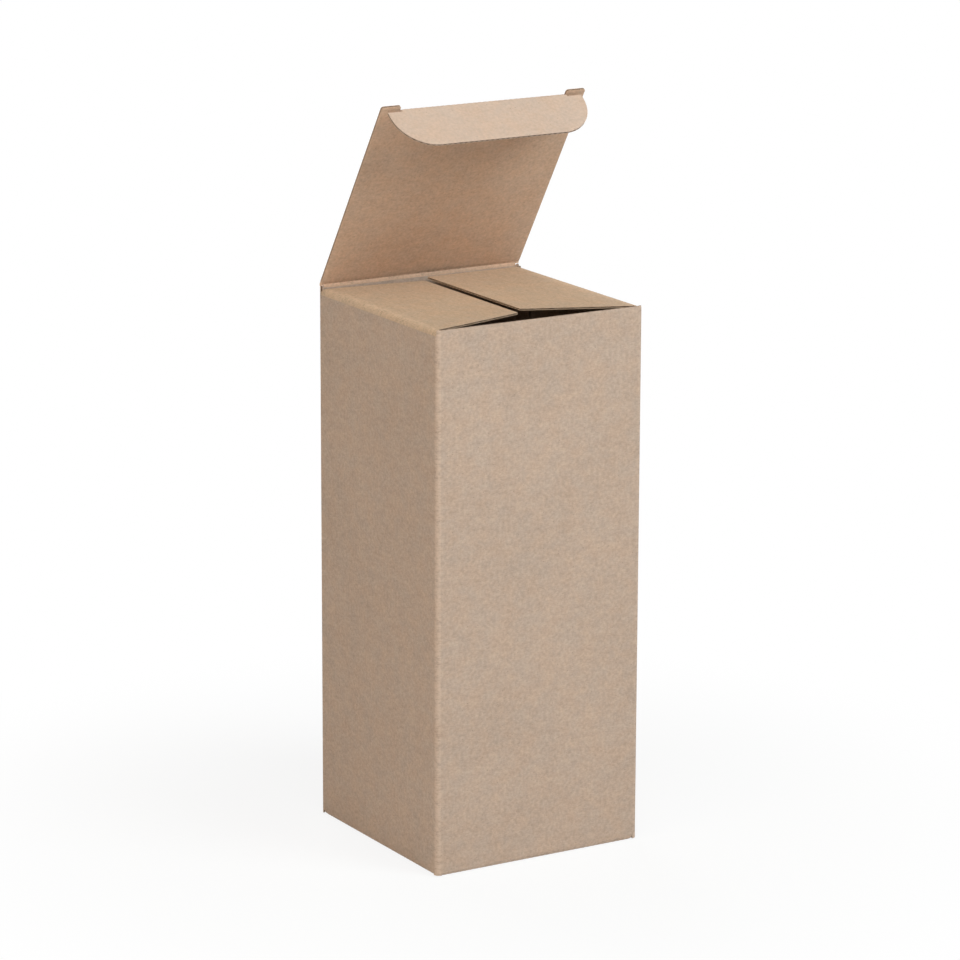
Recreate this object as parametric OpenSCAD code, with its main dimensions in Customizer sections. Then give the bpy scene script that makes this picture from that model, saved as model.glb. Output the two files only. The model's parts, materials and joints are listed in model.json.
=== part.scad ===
// Tall tuck-top bottle carton, folded and glued from one sheet of fine-flute kraft board.
// Millimetres. The origin is the centre of the base, +Z is up and the front panel faces -Y.
// It stands with its lid part open, the tuck flap folded forward and the base glued shut.

/* [Carton] */
// Width across the front panel, outside
carton_w = 130; // [90:1:200]
// Depth from the front panel to the back panel, outside
carton_d = 130; // [90:1:200]
// Height of the front panel's raw top edge above the floor
carton_h = 305; // [150:1:450]

/* [Board] */
// Thickness of the board
board_t = 1.5; // [1.2:0.1:2]
// Outside radius of the folds between panels
fold_r = 3; // [2.5:0.1:4]
// Gap left along a crease that moves
crease_gap = 0.3; // [0.3:0.05:0.5]
// How far glued boards are pressed into each other
glue_bite = 0.05; // [0.03:0.01:0.1]

/* [Dust flaps] */
// Gap between the ends of the two dust flaps
dust_gap = 1.2; // [0.6:0.1:6]
// How far the side folds lie below the front panel's edge
dust_drop = 0.3; // [0:0.1:1]
// How far the front edge of a dust flap stands back from the front panel at the fold
dust_hook = 3.7; // [3.5:0.1:8]
// How far the front edge stands back at the flap's free end
dust_front_taper = 22.2; // [10:0.1:30]
// Play between the front end of a dust flap's fold and the front panel
dust_front_play = 0.2; // [0.1:0.05:0.4]
// Play between the back edge of a dust flap and the back panel at the fold
dust_back_play = 1.1; // [0.5:0.1:3]
// How far the back edge stands off the back panel at the flap's free end
dust_back_taper = 5.9; // [2:0.1:12]
// Play beside the tuck flap where it passes the front ends of the dust flaps' folds
tuck_pass = 0.5; // [0.3:0.1:0.8]
// Slope of the left dust flap, upwards to its free end
left_lift = -0.6; // [-2:0.05:1]
// Slope of the right dust flap, upwards to its free end
right_lift = 1.35; // [-2:0.05:1.4]

/* [Lid] */
// Angle that the lid stands open, from closed
lid_open = 57.5; // [30:0.5:90]
// Height of the lid's crease above the front panel's edge
lid_rise = 2.25; // [2.25:0.05:4]
// How far the lid's side edges stand in from the side panels' outer faces
lid_inset = 0.75; // [0.3:0.05:3]
// Play between the tuck flap's crease and the front panel
tuck_play = 0.5; // [0.4:0.1:2]
// Width of the lock tabs at the two front corners of the lid
tab_w = 12; // [6:0.5:20]
// Length of the lock tabs beyond the crease
tab_l = 2.2; // [1.5:0.1:3]
// Corner radius of the lock tabs
tab_r = 1.4; // [0.5:0.1:1.4]

/* [Tuck flap] */
// Fold of the tuck flap, from flat with the lid
tuck_fold = 96; // [90:1:105]
// Length of the tuck flap from its crease
tuck_l = 28; // [26:0.5:40]
// How far the tuck flap's sides stand in from the side panels' outer faces
tuck_inset = 4; // [3.8:0.1:12]
// Radius of the tuck flap's two free corners
tuck_corner_r = 22; // [8:0.5:22]

/* [Glue flap] */
// Width of the glue flap inside the back right corner
glue_w = 16; // [10:0.5:25]
// How far the glue flap's ends stand in from the top and the base
glue_end = 6; // [5:0.5:20]
// Height taken off the glue flap's free corners
glue_taper = 5; // [1:0.5:12]

/* [Base] */
// Reach of the four base flaps from their folds, mitred towards each other
base_reach = 40; // [20:1:40]
// How far the base folds stop short of the upright folds
corner_relief = 0.5; // [0.3:0.1:1]
// Height of the raw lower ends of the upright folds
corner_foot = 0.8; // [0.3:0.1:1.5]
// Play between the base pad and the inner ends of the base folds
pad_play = 0.6; // [0.3:0.1:2]

/* [Hidden] */
$fn = 96;
kraft_outside = [0.74, 0.65, 0.55];
kraft_lid = [0.66, 0.55, 0.44];
kraft_tuck = [0.83, 0.75, 0.66];
half_w = carton_w / 2;
half_d = carton_d / 2;
overlap = 0.01;
// How far cutting shapes reach past the board
cut_past = 1;
// Angle by which a dust flap's fold is drawn past its side panel, before it is cut off level
fold_overrun = 15;

// Levels of the folds and raw edges
dust_top = carton_h - dust_drop;
top_bend_z = dust_top - fold_r;

// Lid hinge line, and the length of the lid panel up to the tuck flap's crease
hinge_y = half_d - board_t / 2;
hinge_z = carton_h + lid_rise;
back_top = hinge_z - board_t / 2 - crease_gap;
lid_half = half_w - lid_inset;
lid_l = hinge_y + half_d - board_t - tuck_play - board_t / 2;
// The lid's front end stands back so that the tuck flap can fold past a right angle
end_gap = 1.5 * crease_gap;
lid_end_l = lid_l - board_t - end_gap;

// Tuck flap: its crease runs between the lock tabs, and its sides start past the slits
tuck_half = half_w - tuck_inset;
root_half = lid_half - tab_w - crease_gap;
slit_l = tab_l + end_gap;

// Dust flaps: extent along the fold, and reach from the end of the fold
dust_front_y = -(half_d - board_t - dust_front_play);
dust_back_y = half_d - board_t - dust_back_play;
dust_reach = half_w - fold_r - dust_gap / 2;
shoulder_l = half_w - fold_r - tuck_half - tuck_pass;

// Base folds as seen from outside each panel: turn about Z, both ends, and the panel's distance.
// The back panel's fold stops early at the glued corner, where the glue flap turns off it.
base_half_w = half_w - fold_r - corner_relief;
base_half_d = half_d - fold_r - corner_relief;
glue_side_half = base_half_w - board_t + glue_bite;
// The front flap's tongue fills the middle, which the mitred flaps leave free
tongue_half = half_w - fold_r - base_reach - corner_relief;
tongue_l = 2 * (half_d - fold_r - base_reach) - corner_relief;
base_folds = [
    [0, -base_half_w, base_half_w, half_d],
    [90, -base_half_d, base_half_d, half_w],
    [180, -glue_side_half, base_half_w, half_d],
    [270, -base_half_d, base_half_d, half_w]
];

// Part of a bent board seen from its end, as a ring from one angle to another
module bend(outer_r, from_a, to_a) {
    reach = 2 * outer_r;
    mid_a = (from_a + to_a) / 2;
    intersection() {
        difference() {
            circle(r = outer_r);
            circle(r = outer_r - board_t);
        }
        polygon([
            [0, 0],
            reach * [cos(from_a), sin(from_a)],
            reach * [cos(mid_a), sin(mid_a)],
            reach * [cos(to_a), sin(to_a)]
        ]);
    }
}

// A bend that runs along X, drawn in the Y-Z plane
module bend_along_x(length) {
    rotate([90, 0, 90])
        linear_extrude(length, center = true)
            children();
}

// Plan of the four panels, with three rounded folds and the glued corner
module wall_plan() {
    translate([-half_w + fold_r, -half_d])
        square([carton_w - 2 * fold_r, board_t]);
    translate([-half_w, -half_d + fold_r])
        square([board_t, carton_d - 2 * fold_r]);
    translate([-half_w + fold_r, half_d - board_t])
        square([carton_w - 2 * fold_r - board_t + glue_bite, board_t]);
    translate([half_w - board_t, -half_d + fold_r])
        square([board_t, carton_d - fold_r]);
    translate([-half_w + fold_r, -half_d + fold_r])
        bend(fold_r, 180, 270);
    translate([half_w - fold_r, -half_d + fold_r])
        bend(fold_r, 270, 360);
    translate([-half_w + fold_r, half_d - fold_r])
        bend(fold_r, 90, 180);
    translate([half_w - board_t + glue_bite - fold_r, half_d - fold_r])
        bend(fold_r, 0, 90);
}

// The glue flap, bonded to the inner face of the right panel
module glue_flap() {
    root_y = half_d - fold_r;
    tip_y = half_d - glue_w;
    low_z = fold_r + glue_end;
    high_z = top_bend_z - glue_end;
    translate([half_w - 2 * board_t + glue_bite, 0, 0])
        rotate([90, 0, 90])
            linear_extrude(board_t)
                polygon([
                    [root_y, low_z],
                    [root_y, high_z],
                    [tip_y, high_z - glue_taper],
                    [tip_y, low_z + glue_taper]
                ]);
}

// Space that the side panels' top folds take from the upright walls
module top_fold_space() {
    for (side = [-1, 1])
        translate([side > 0 ? half_w - fold_r : -half_w - cut_past, dust_front_y, top_bend_z])
            cube([fold_r + cut_past, dust_back_y - dust_front_y, back_top - top_bend_z + cut_past]);
}

// Space that one base fold takes from the front panel, from one place along it to another
module base_fold_space(from_x, to_x, panel_y) {
    translate([from_x, panel_y - cut_past, 0])
        cube([to_x - from_x, fold_r + cut_past, fold_r]);
}

// One base flap with its fold, drawn on the front panel: its sides run in at 45 degrees
module base_flap(from_x, to_x, panel_y) {
    fold_y = panel_y + fold_r;
    translate([(from_x + to_x) / 2, fold_y, fold_r])
        bend_along_x(to_x - from_x)
            bend(fold_r, 180, 270);
    linear_extrude(board_t)
        polygon([
            [from_x, fold_y],
            [to_x, fold_y],
            [to_x - base_reach, fold_y + base_reach],
            [from_x + base_reach, fold_y + base_reach]
        ]);
}

// The upright panels, cut to their own heights
module walls() {
    difference() {
        translate([0, 0, corner_foot])
            linear_extrude(back_top - corner_foot)
                wall_plan();
        // Front panel and side panels end lower than the back panel
        translate([-half_w - cut_past, -half_d - cut_past, carton_h])
            cube([carton_w + 2 * cut_past, carton_d + cut_past - fold_r, lid_rise + cut_past]);
        // The right panel's strip beside the glued corner
        translate([half_w - board_t, 0, dust_top])
            cube([board_t + cut_past, half_d + cut_past, lid_rise + cut_past]);
        top_fold_space();
        // All four panels turn under into the base flaps
        for (fold = base_folds)
            rotate(fold[0])
                base_fold_space(fold[1], fold[2], -fold[3]);
    }
}

// Outline of a dust flap: x runs from its fold to its free end, y along the fold
module dust_outline() {
    inner_front_y = -(half_d - board_t);
    inner_back_y = half_d - board_t;
    polygon([
        [0, dust_front_y],
        [shoulder_l, dust_front_y],
        [shoulder_l, inner_front_y + dust_hook],
        [dust_reach, inner_front_y + dust_front_taper],
        [dust_reach, inner_back_y - dust_back_taper],
        [0, dust_back_y]
    ]);
}

// Left dust flap with its fold, about the fold's centre line; its outer face is up
module dust_flap(lift) {
    length = dust_back_y - dust_front_y;
    difference() {
        rotate([0, -lift, 0]) {
            translate([0, dust_back_y, 0])
                rotate([90, 0, 0])
                    linear_extrude(length)
                        bend(fold_r, 90, 180 + fold_overrun);
            translate([0, 0, fold_r - board_t])
                linear_extrude(board_t)
                    dust_outline();
        }
        // The fold ends level with the top of its side panel
        translate([-2 * fold_r, dust_front_y - cut_past, -2 * fold_r])
            cube([3 * fold_r, length + 2 * cut_past, 2 * fold_r]);
    }
}

// Lid panel: y runs from its hinge line to its crease, with a lock tab at each end
module lid_outline() {
    translate([-lid_half, 0])
        square([2 * lid_half, lid_end_l]);
    for (side = [-1, 1])
        translate([side > 0 ? lid_half - tab_w : -lid_half, lid_end_l - overlap])
            lock_tab(lid_l + tab_l - lid_end_l + overlap);
}

// A lock tab with two rounded corners at its free end
module lock_tab(length) {
    translate([tab_r, 0])
        square([tab_w - 2 * tab_r, length]);
    square([tab_w, length - tab_r]);
    for (x = [tab_r, tab_w - tab_r])
        translate([x, length - tab_r])
            circle(r = tab_r);
}

// Tuck flap: y runs from its crease to its free edge, with a slit beside each lock tab
module tuck_outline() {
    translate([-root_half, 0])
        square([2 * root_half, tuck_l]);
    translate([-tuck_half, slit_l])
        square([2 * tuck_half, tuck_l - tuck_corner_r - slit_l]);
    translate([-tuck_half + tuck_corner_r, slit_l])
        square([2 * (tuck_half - tuck_corner_r), tuck_l - slit_l]);
    for (side = [-1, 1])
        translate([side * (tuck_half - tuck_corner_r), tuck_l - tuck_corner_r])
            intersection() {
                circle(r = tuck_corner_r);
                translate([-tuck_corner_r, slit_l - tuck_l + tuck_corner_r])
                    square([2 * tuck_corner_r, tuck_l]);
            }
}

// Four folded base flaps, glued to a square pad of the same board inside
module base() {
    for (fold = base_folds)
        rotate(fold[0])
            base_flap(fold[1], fold[2], -fold[3]);
    translate([-tongue_half, -half_d + fold_r + base_reach - overlap, 0])
        cube([2 * tongue_half, tongue_l + overlap, board_t]);
    translate([pad_play - half_w + fold_r, pad_play - half_d + fold_r, board_t - glue_bite])
        cube([2 * (half_w - fold_r - pad_play), 2 * (half_d - fold_r - pad_play), board_t]);
}

module carton_body() {
    color(kraft_outside) {
        walls();
        glue_flap();
        translate([-half_w + fold_r, 0, top_bend_z])
            dust_flap(left_lift);
        translate([half_w - fold_r, 0, top_bend_z])
            mirror([1, 0, 0])
                dust_flap(right_lift);
        base();
    }
}

// Puts a flat lid, drawn closed about its hinge line, at the angle it stands open
module on_lid() {
    translate([0, hinge_y, hinge_z])
        rotate([-lid_open, 0, 0])
            children();
}

// A rounded board end that runs along X
module rounded_end(half_length) {
    rotate([0, 90, 0])
        cylinder(d = board_t, h = 2 * half_length, center = true);
}

module lid() {
    color(kraft_lid)
        on_lid() {
            rounded_end(lid_half);
            translate([0, 0, -board_t / 2])
                mirror([0, 1, 0])
                    linear_extrude(board_t)
                        lid_outline();
            translate([0, -lid_end_l, 0])
                rounded_end(root_half + crease_gap);
        }
}

module tuck_flap() {
    color(kraft_tuck)
        on_lid()
            translate([0, -lid_l, 0])
                rotate([tuck_fold, 0, 0]) {
                    rounded_end(root_half);
                    translate([0, 0, -board_t / 2])
                        mirror([0, 1, 0])
                            linear_extrude(board_t)
                                tuck_outline();
                }
}

carton_body();
lid();
tuck_flap();
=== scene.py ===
import json
import math

import bpy
import numpy as np
from mathutils import Matrix, Vector


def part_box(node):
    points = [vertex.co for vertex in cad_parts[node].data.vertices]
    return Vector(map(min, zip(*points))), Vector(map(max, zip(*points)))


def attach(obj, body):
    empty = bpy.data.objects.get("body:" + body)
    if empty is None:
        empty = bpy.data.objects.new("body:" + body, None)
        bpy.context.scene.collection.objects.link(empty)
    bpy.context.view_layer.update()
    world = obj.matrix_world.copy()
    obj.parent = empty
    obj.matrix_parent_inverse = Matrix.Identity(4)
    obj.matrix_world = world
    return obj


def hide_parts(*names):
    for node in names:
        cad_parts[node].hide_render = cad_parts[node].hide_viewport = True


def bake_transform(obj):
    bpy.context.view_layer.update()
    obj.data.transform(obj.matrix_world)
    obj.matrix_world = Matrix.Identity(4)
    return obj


# Tall tuck-top bottle carton: one sheet of fine-flute kraft board, folded and glued
# Metres throughout. Every panel is two paper liners with a fluted layer between them.

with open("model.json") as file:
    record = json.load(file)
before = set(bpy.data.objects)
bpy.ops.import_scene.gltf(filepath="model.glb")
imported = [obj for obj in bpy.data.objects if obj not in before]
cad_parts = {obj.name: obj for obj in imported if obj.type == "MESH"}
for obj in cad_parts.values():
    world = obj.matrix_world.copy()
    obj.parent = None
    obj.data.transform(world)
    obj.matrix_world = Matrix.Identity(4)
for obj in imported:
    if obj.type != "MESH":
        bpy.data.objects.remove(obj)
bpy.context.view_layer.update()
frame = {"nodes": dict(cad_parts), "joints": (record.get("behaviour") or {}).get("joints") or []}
print("frame loaded:", ", ".join(sorted(frame["nodes"])))

# The board and the carton's shell

boardSpec = {
    "thickness": 0.0015,
    "liner": 0.00026,  # paper on each face
    "flutePitch": 0.0033,
    "flutePaper": 0.00016,
    "foldRadius": 0.003,  # outside of the folds between panels
    "crush": 0.24,  # share of the thickness lost at a cut edge
    "crushReach": 0.0009,
    "ridge": 0.0001,  # how deep the fold dips between the flutes that it crosses
    "bow": 0.00035,  # how far a panel's middle stands in from its folds
    "ripple": 0.00007,
    "cutRows": (0.0, 0.0004, 0.0009, 0.0016, 0.0028),  # places behind a cut edge
    "foldPale": 0.0016,  # half the width of the paler band along a crease, partly wear and partly a painted highlight
}

cartonSpec = {
    "cornerFoot": 0.0008,  # raw lower ends of the folds between panels
    "footStep": 0.0003,  # length over which a fold's end rises to the panel's own foot
    "baseHalf": 0.0615,  # the base folds run this far to both sides
    "glueSideHalf": 0.06005,  # but less far at the glued corner
    "baseReach": 0.04,
    "tongueHalf": 0.0215,  # the front base flap's tongue fills the middle
    "tongueReach": 0.0835,
    "padHalf": 0.0614,
    "padFace": 0.0015,
    "dustTop": 0.3047,
    "frontTop": 0.305,
    "backTop": 0.3062,
    "backLead": 0.0002,  # the back panel's ends rise from here inside its folds
    "backStep": 0.0008,  # over this length
    "foldFront": 0.0633,  # the dust flaps' folds run from here at the front
    "foldBack": 0.0624,  # to here at the back
    "shoulder": 0.0005,
    "hookStart": 0.0598,
    "hookEnd": 0.0413,
    "backEnd": 0.0576,
    "dustReach": 0.0614,
    "dustRows": (0.0024, 0.0014, 0.0008, 0.0004, 0.0),
    "dustNarrow": 0.008,  # where a dust flap is shorter than this, its rows draw together
    "dustPale": 0.0012,
    "dustRidge": 0.0022,
    "leftLift": math.radians(-0.6),
    "rightLift": math.radians(1.35),
    "glueTip": 0.049,
    "glueFoot": 0.009,
    "glueTop": 0.2957,
    "glueTaper": 0.005,
    "glueSheet": -0.2,
    "baseSheet": -0.2,
    "baseSheetStep": -0.3,
    "padSheet": 0.9,
}

lidSpec = {
    "halfWidth": 0.06425,
    "tabWidth": 0.012,
    "tabLength": 0.0022,
    "tabRadius": 0.0014,
    "slit": 0.0003,
    "hingeStrip": 0.0022,  # half the length of the creased strip at the back panel
    "creaseStrip": 0.003,  # the same at the tuck flap
    "hingeRadius": 0.0014,
    "creaseRadius": 0.0021,
    "hingeBlend": 0.0013,  # half the length over which the crease follows the lid
    "creaseBlend": 0.00135,
    "hingePress": 0.3,  # share of the thickness that the crease presses out
    "creasePress": 0.22,
    "cutRows": (0.0026, 0.0016, 0.0009, 0.0004, 0.0),
    "sheetStart": 0.3072,
}

tuckSpec = {
    "length": 0.028,
    "halfWidth": 0.061,
    "cornerRadius": 0.022,
    "slitLength": 0.00265,
    "cutRows": (0.0024, 0.0015, 0.0009, 0.0004, 0.0),
    "sheetStart": 0.435,
}

bodyLow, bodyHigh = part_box("carton_body")
halfWidth, halfDepth = bodyHigh.x, -bodyLow.y
halfBoard = boardSpec["thickness"] / 2
foldMiddle = boardSpec["foldRadius"] - halfBoard
sideLine = halfWidth - boardSpec["foldRadius"]  # where a fold ends and a flat panel starts
depthLine = halfDepth - boardSpec["foldRadius"]
topLine = cartonSpec["dustTop"] - boardSpec["foldRadius"]
footLine = boardSpec["foldRadius"]
coreStep = boardSpec["flutePitch"] / 8  # eight faces to a flute
fineStep = boardSpec["flutePitch"] / 6
creaseRow = 0.0002

joints = {joint["name"]: joint for joint in frame["joints"]}
hingePoint = np.array(joints["lid_hinge"]["pos_m"])
creasePoint = np.array(joints["tuck_fold"]["pos_m"])
lidLength = float(np.linalg.norm(creasePoint - hingePoint))
lidAlong = (creasePoint - hingePoint) / lidLength
lidOut = np.array([0.0, lidAlong[2], -lidAlong[1]])
tuckFold = -math.radians(joints["tuck_fold"]["range_deg"][0])
tuckAlong = lidAlong * math.cos(tuckFold) - lidOut * math.sin(tuckFold)
tuckOut = lidOut * math.cos(tuckFold) + lidAlong * math.sin(tuckFold)
tuckRoot = lidSpec["halfWidth"] - lidSpec["tabWidth"] - lidSpec["slit"]
acrossX = np.array([1.0, 0.0, 0.0])
upward = np.array([0.0, 0.0, 1.0])
backward = np.array([0.0, 1.0, 0.0])


def stretch(start, stop, step):
    # Even places from start to stop, about a step apart
    count = max(2, int(round(abs(stop - start) / step)) + 1)
    return np.linspace(start, stop, count)


def joinPlaces(*runs):
    # Runs of places one after another, without doubles
    places = np.sort(np.concatenate(runs))
    keep = np.concatenate([[True], np.diff(places) > 1e-6])
    return places[keep]


def edgePlaces(start, stop, step, startCut=True, stopCut=True):
    # Places with extra ones close to a cut edge, where the board is crushed
    near = np.array(boardSpec["cutRows"])
    low = start + (near if startCut else near[:1])
    high = stop - (near if stopCut else near[:1])
    return joinPlaces(low, high, stretch(low[-1], high[-1], step))


# Plan of the walls: the board's middle line from the glued corner round to the right panel's raw edge

def makePlan():
    quarter = math.pi / 2
    glueLine = sideLine - boardSpec["thickness"]
    corners = [
        (glueLine, depthLine, 0.0),
        (-sideLine, depthLine, quarter),
        (-sideLine, -depthLine, 2 * quarter),
        (sideLine, -depthLine, 3 * quarter),
    ]
    flats = [sideLine + glueLine, 2 * depthLine, 2 * sideLine, depthLine + halfDepth]
    runs = []
    place = 0.0
    for (x, y, angle), flat in zip(corners, flats):
        bend = foldMiddle * quarter
        runs.append({"kind": "fold", "start": place, "length": bend, "x": x, "y": y, "angle": angle})
        place += bend
        turned = angle + quarter
        startX = x + foldMiddle * math.cos(turned)
        startY = y + foldMiddle * math.sin(turned)
        runs.append(
            {"kind": "flat", "start": place, "length": flat, "x": startX, "y": startY, "angle": turned}
        )
        place += flat
    return runs, place


planRuns, planEnd = makePlan()
glueCorner, backPanel, backLeftFold, _, frontLeftFold, _, frontRightFold, rightPanel = planRuns


def alongPlan(places):
    # For places along the plan: point, outward direction, share of the way across a panel
    # and nearness to a fold
    places = np.asarray(places, float)
    point = np.zeros(places.shape + (3,))
    out = np.zeros(places.shape + (3,))
    share = np.zeros(places.shape)
    fold = np.zeros(places.shape)
    for run in planRuns:
        inside = (places >= run["start"] - 1e-9) & (places <= run["start"] + run["length"] + 1e-9)
        way = places[inside] - run["start"]
        if run["kind"] == "fold":
            angle = run["angle"] + way / foldMiddle
            out[inside] = np.stack([np.cos(angle), np.sin(angle), 0 * angle], -1)
            centre = np.array([run["x"], run["y"], 0.0])
            point[inside] = centre + foldMiddle * out[inside]
            fold[inside] = np.sin(np.pi * way / run["length"]) ** 0.5
        else:
            direction = np.array([-math.sin(run["angle"]), math.cos(run["angle"]), 0.0])
            point[inside] = np.array([run["x"], run["y"], 0.0]) + way[:, None] * direction
            out[inside] = np.array([math.cos(run["angle"]), math.sin(run["angle"]), 0.0])
            share[inside] = way / run["length"]
    return point, out, share, fold


def foldPlace(run, outerOffset, fromEnd=False):
    # Place on a fold at which the outer face has gone this far from its centre line
    angle = math.asin(outerOffset / boardSpec["foldRadius"])
    return run["start"] + (run["length"] - foldMiddle * angle if fromEnd else foldMiddle * angle)


def panelPlay(share, height):
    # How far a panel stands in from the flat, in its own middle
    rise = np.clip((height - footLine) / (topLine - footLine), 0, 1)
    hold = np.sin(np.pi * np.clip(share, 0, 1))
    slow = 0.75 + 0.25 * np.sin(2.3 * np.pi * rise + 0.8)
    ripples = np.sin(11 * rise + 5 * share) * np.sin(7 * share + 3 * rise + 1)
    bow = boardSpec["bow"] * slow * np.sin(np.pi * (0.12 + 0.76 * rise))
    return -hold * (bow + boardSpec["ripple"] * ripples)


# Board meshes: a grid of points with outward directions becomes liners and a fluted layer

def makeGrid(point, out, sheet, crease, edge):
    # edge is the distance to the nearest cut edge, crease runs from 0 to 1 at a fold
    shape = point.shape[:2]
    crease = np.broadcast_to(crease, shape)
    edge = np.broadcast_to(edge, shape)
    plump = 1 - boardSpec["crush"] * np.exp(-((edge / boardSpec["crushReach"]) ** 1.5))
    return {"point": point, "out": out, "sheet": sheet, "crease": crease, "plump": plump}


def windsInward(grid):
    # True where the grid's own winding faces inwards
    point, out = grid["point"], grid["out"]
    i, j = max(1, point.shape[0] // 2), max(1, point.shape[1] // 2)
    first = point[i, j] - point[i - 1, j]
    second = point[i, j] - point[i, j - 1]
    return float(np.dot(np.cross(first, second), out[i, j])) < 0


def quadsOf(index, flip):
    # Four-sided faces between the points of a grid
    quads = np.stack([index[:-1, :-1], index[1:, :-1], index[1:, 1:], index[:-1, 1:]], -1).reshape(-1, 4)
    return quads[:, ::-1] if flip else quads


def meshWithSheet(name, points, faces, sheets):
    # A mesh whose UV map holds each point's place on the flat sheet
    mesh = bpy.data.meshes.new(name)
    mesh.from_pydata(np.concatenate(points).tolist(), [], np.concatenate(faces).tolist())
    corners = np.zeros(len(mesh.loops), int)
    mesh.loops.foreach_get("vertex_index", corners)
    sheet = mesh.uv_layers.new(name="sheet")
    sheet.uv.foreach_set("vector", np.concatenate(sheets)[corners].astype(np.float32).ravel())
    return mesh


def keepValues(mesh, label, values):
    layer = mesh.attributes.new(label, "FLOAT", "POINT")
    layer.data.foreach_set("value", np.concatenate(values).astype(np.float32))


class BoardMesh:
    # Collects closed slabs into one mesh
    innerShift = 3.0  # moves the paper's pattern on the inner face

    def __init__(self):
        self.points, self.faces, self.sheets, self.creases = [], [], [], []
        self.count = 0

    def addSlab(self, grid, low, high):
        # A closed slab between two offsets from the board's middle, given as places on its grid
        columns, rows = grid["point"].shape[:2]
        size = columns * rows
        for offset, shift in ((high, 0.0), (low, self.innerShift)):
            self.points.append((grid["point"] + grid["out"] * offset[..., None]).reshape(-1, 3))
            self.sheets.append((grid["sheet"] + shift).reshape(-1, 2))
            self.creases.append(grid["crease"].reshape(-1))
        index = np.arange(size).reshape(columns, rows) + self.count
        flip = windsInward(grid)
        self.faces.append(quadsOf(index, flip))
        self.faces.append(quadsOf(index + size, not flip))
        ring = np.concatenate([index[:-1, 0], index[-1, :-1], index[:0:-1, -1], index[0, :0:-1]])
        following = np.roll(ring, -1)
        walls = np.stack([ring, ring + size, following + size, following], -1)
        self.faces.append(walls[:, ::-1] if flip else walls)
        self.count += 2 * size

    def addLiners(self, grid):
        half = halfBoard * grid["plump"]
        paper = boardSpec["liner"]
        self.addSlab(grid, half - paper, half)
        self.addSlab(grid, -half, -half + paper)

    def addSolid(self, grid):
        half = halfBoard * grid["plump"]
        self.addSlab(grid, -half, half)

    def makeObject(self, name, material):
        mesh = meshWithSheet(name, self.points, self.faces, self.sheets)
        keepValues(mesh, "crease", self.creases)
        mesh.materials.append(material)
        mesh.polygons.foreach_set("use_smooth", np.ones(len(mesh.polygons), bool))
        mesh.update()
        mesh.set_sharp_from_angle(angle=math.radians(38))
        piece = bpy.data.objects.new(name, mesh)
        bpy.context.scene.collection.objects.link(piece)
        print(f"{name}: {len(mesh.polygons)} faces")
        return piece


class FluteBase:
    # Collects the middle surface of the board, which the flute tree turns into the fluted layer
    def __init__(self):
        self.points, self.faces, self.across, self.facing, self.plump, self.sheets = [], [], [], [], [], []
        self.count = 0

    def add(self, grid, across):
        columns, rows = grid["point"].shape[:2]
        index = np.arange(columns * rows).reshape(columns, rows) + self.count
        self.points.append(grid["point"].reshape(-1, 3))
        self.facing.append(grid["out"].reshape(-1, 3))
        self.across.append(np.broadcast_to(across, (columns, rows)).reshape(-1))
        self.plump.append(grid["plump"].reshape(-1))
        self.sheets.append(grid["sheet"].reshape(-1, 2))
        self.faces.append(quadsOf(index, windsInward(grid)))
        self.count += columns * rows

    def makeObject(self, name, material):
        mesh = meshWithSheet(name, self.points, self.faces, self.sheets)
        keepValues(mesh, "across", self.across)
        keepValues(mesh, "plump", self.plump)
        facing = mesh.attributes.new("facing", "FLOAT_VECTOR", "POINT")
        facing.data.foreach_set("vector", np.concatenate(self.facing).astype(np.float32).ravel())
        mesh.update()
        piece = bpy.data.objects.new(name, mesh)
        bpy.context.scene.collection.objects.link(piece)
        return growFlutes(piece, material)


def layBoard(mesh, flutes, grid, places, core):
    # A fine grid along the flutes becomes the fluted layer, the other one the two liners
    if core:
        flutes.add(grid, places[:, None])
    else:
        mesh.addLiners(grid)


class NodeKit:
    # Adds nodes to a tree and joins them
    def __init__(self, tree):
        self.tree = tree
        tree.nodes.clear()

    def add(self, kind, **values):
        node = self.tree.nodes.new(kind)
        for key, value in values.items():
            setattr(node, key, value)
        return node

    def put(self, socket, value):
        if isinstance(value, bpy.types.NodeSocket):
            self.tree.links.new(value, socket)
        else:
            socket.default_value = value

    def fill(self, node, **values):
        # Inputs by name, with spaces written as low lines
        for key, value in values.items():
            self.put(node.inputs[key.replace("_", " ")], value)
        return node

    def sums(self, operation, first, second=0.0, clamp=False):
        node = self.add("ShaderNodeMath", operation=operation, use_clamp=clamp)
        self.put(node.inputs[0], first)
        self.put(node.inputs[1], second)
        return node.outputs[0]

    def mixed(self, factor, first, second, blend="MIX"):
        node = self.add("ShaderNodeMix", data_type="RGBA", blend_type=blend)
        for label, value in (("Factor", factor), ("A", first), ("B", second)):
            self.put(node.inputs[label], value)
        return node.outputs["Result"]

    def ramp(self, value, low, high):
        node = self.add("ShaderNodeMapRange", clamp=True)
        self.fill(node, Value=value, From_Min=low, From_Max=high)
        return node.outputs[0]


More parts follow.
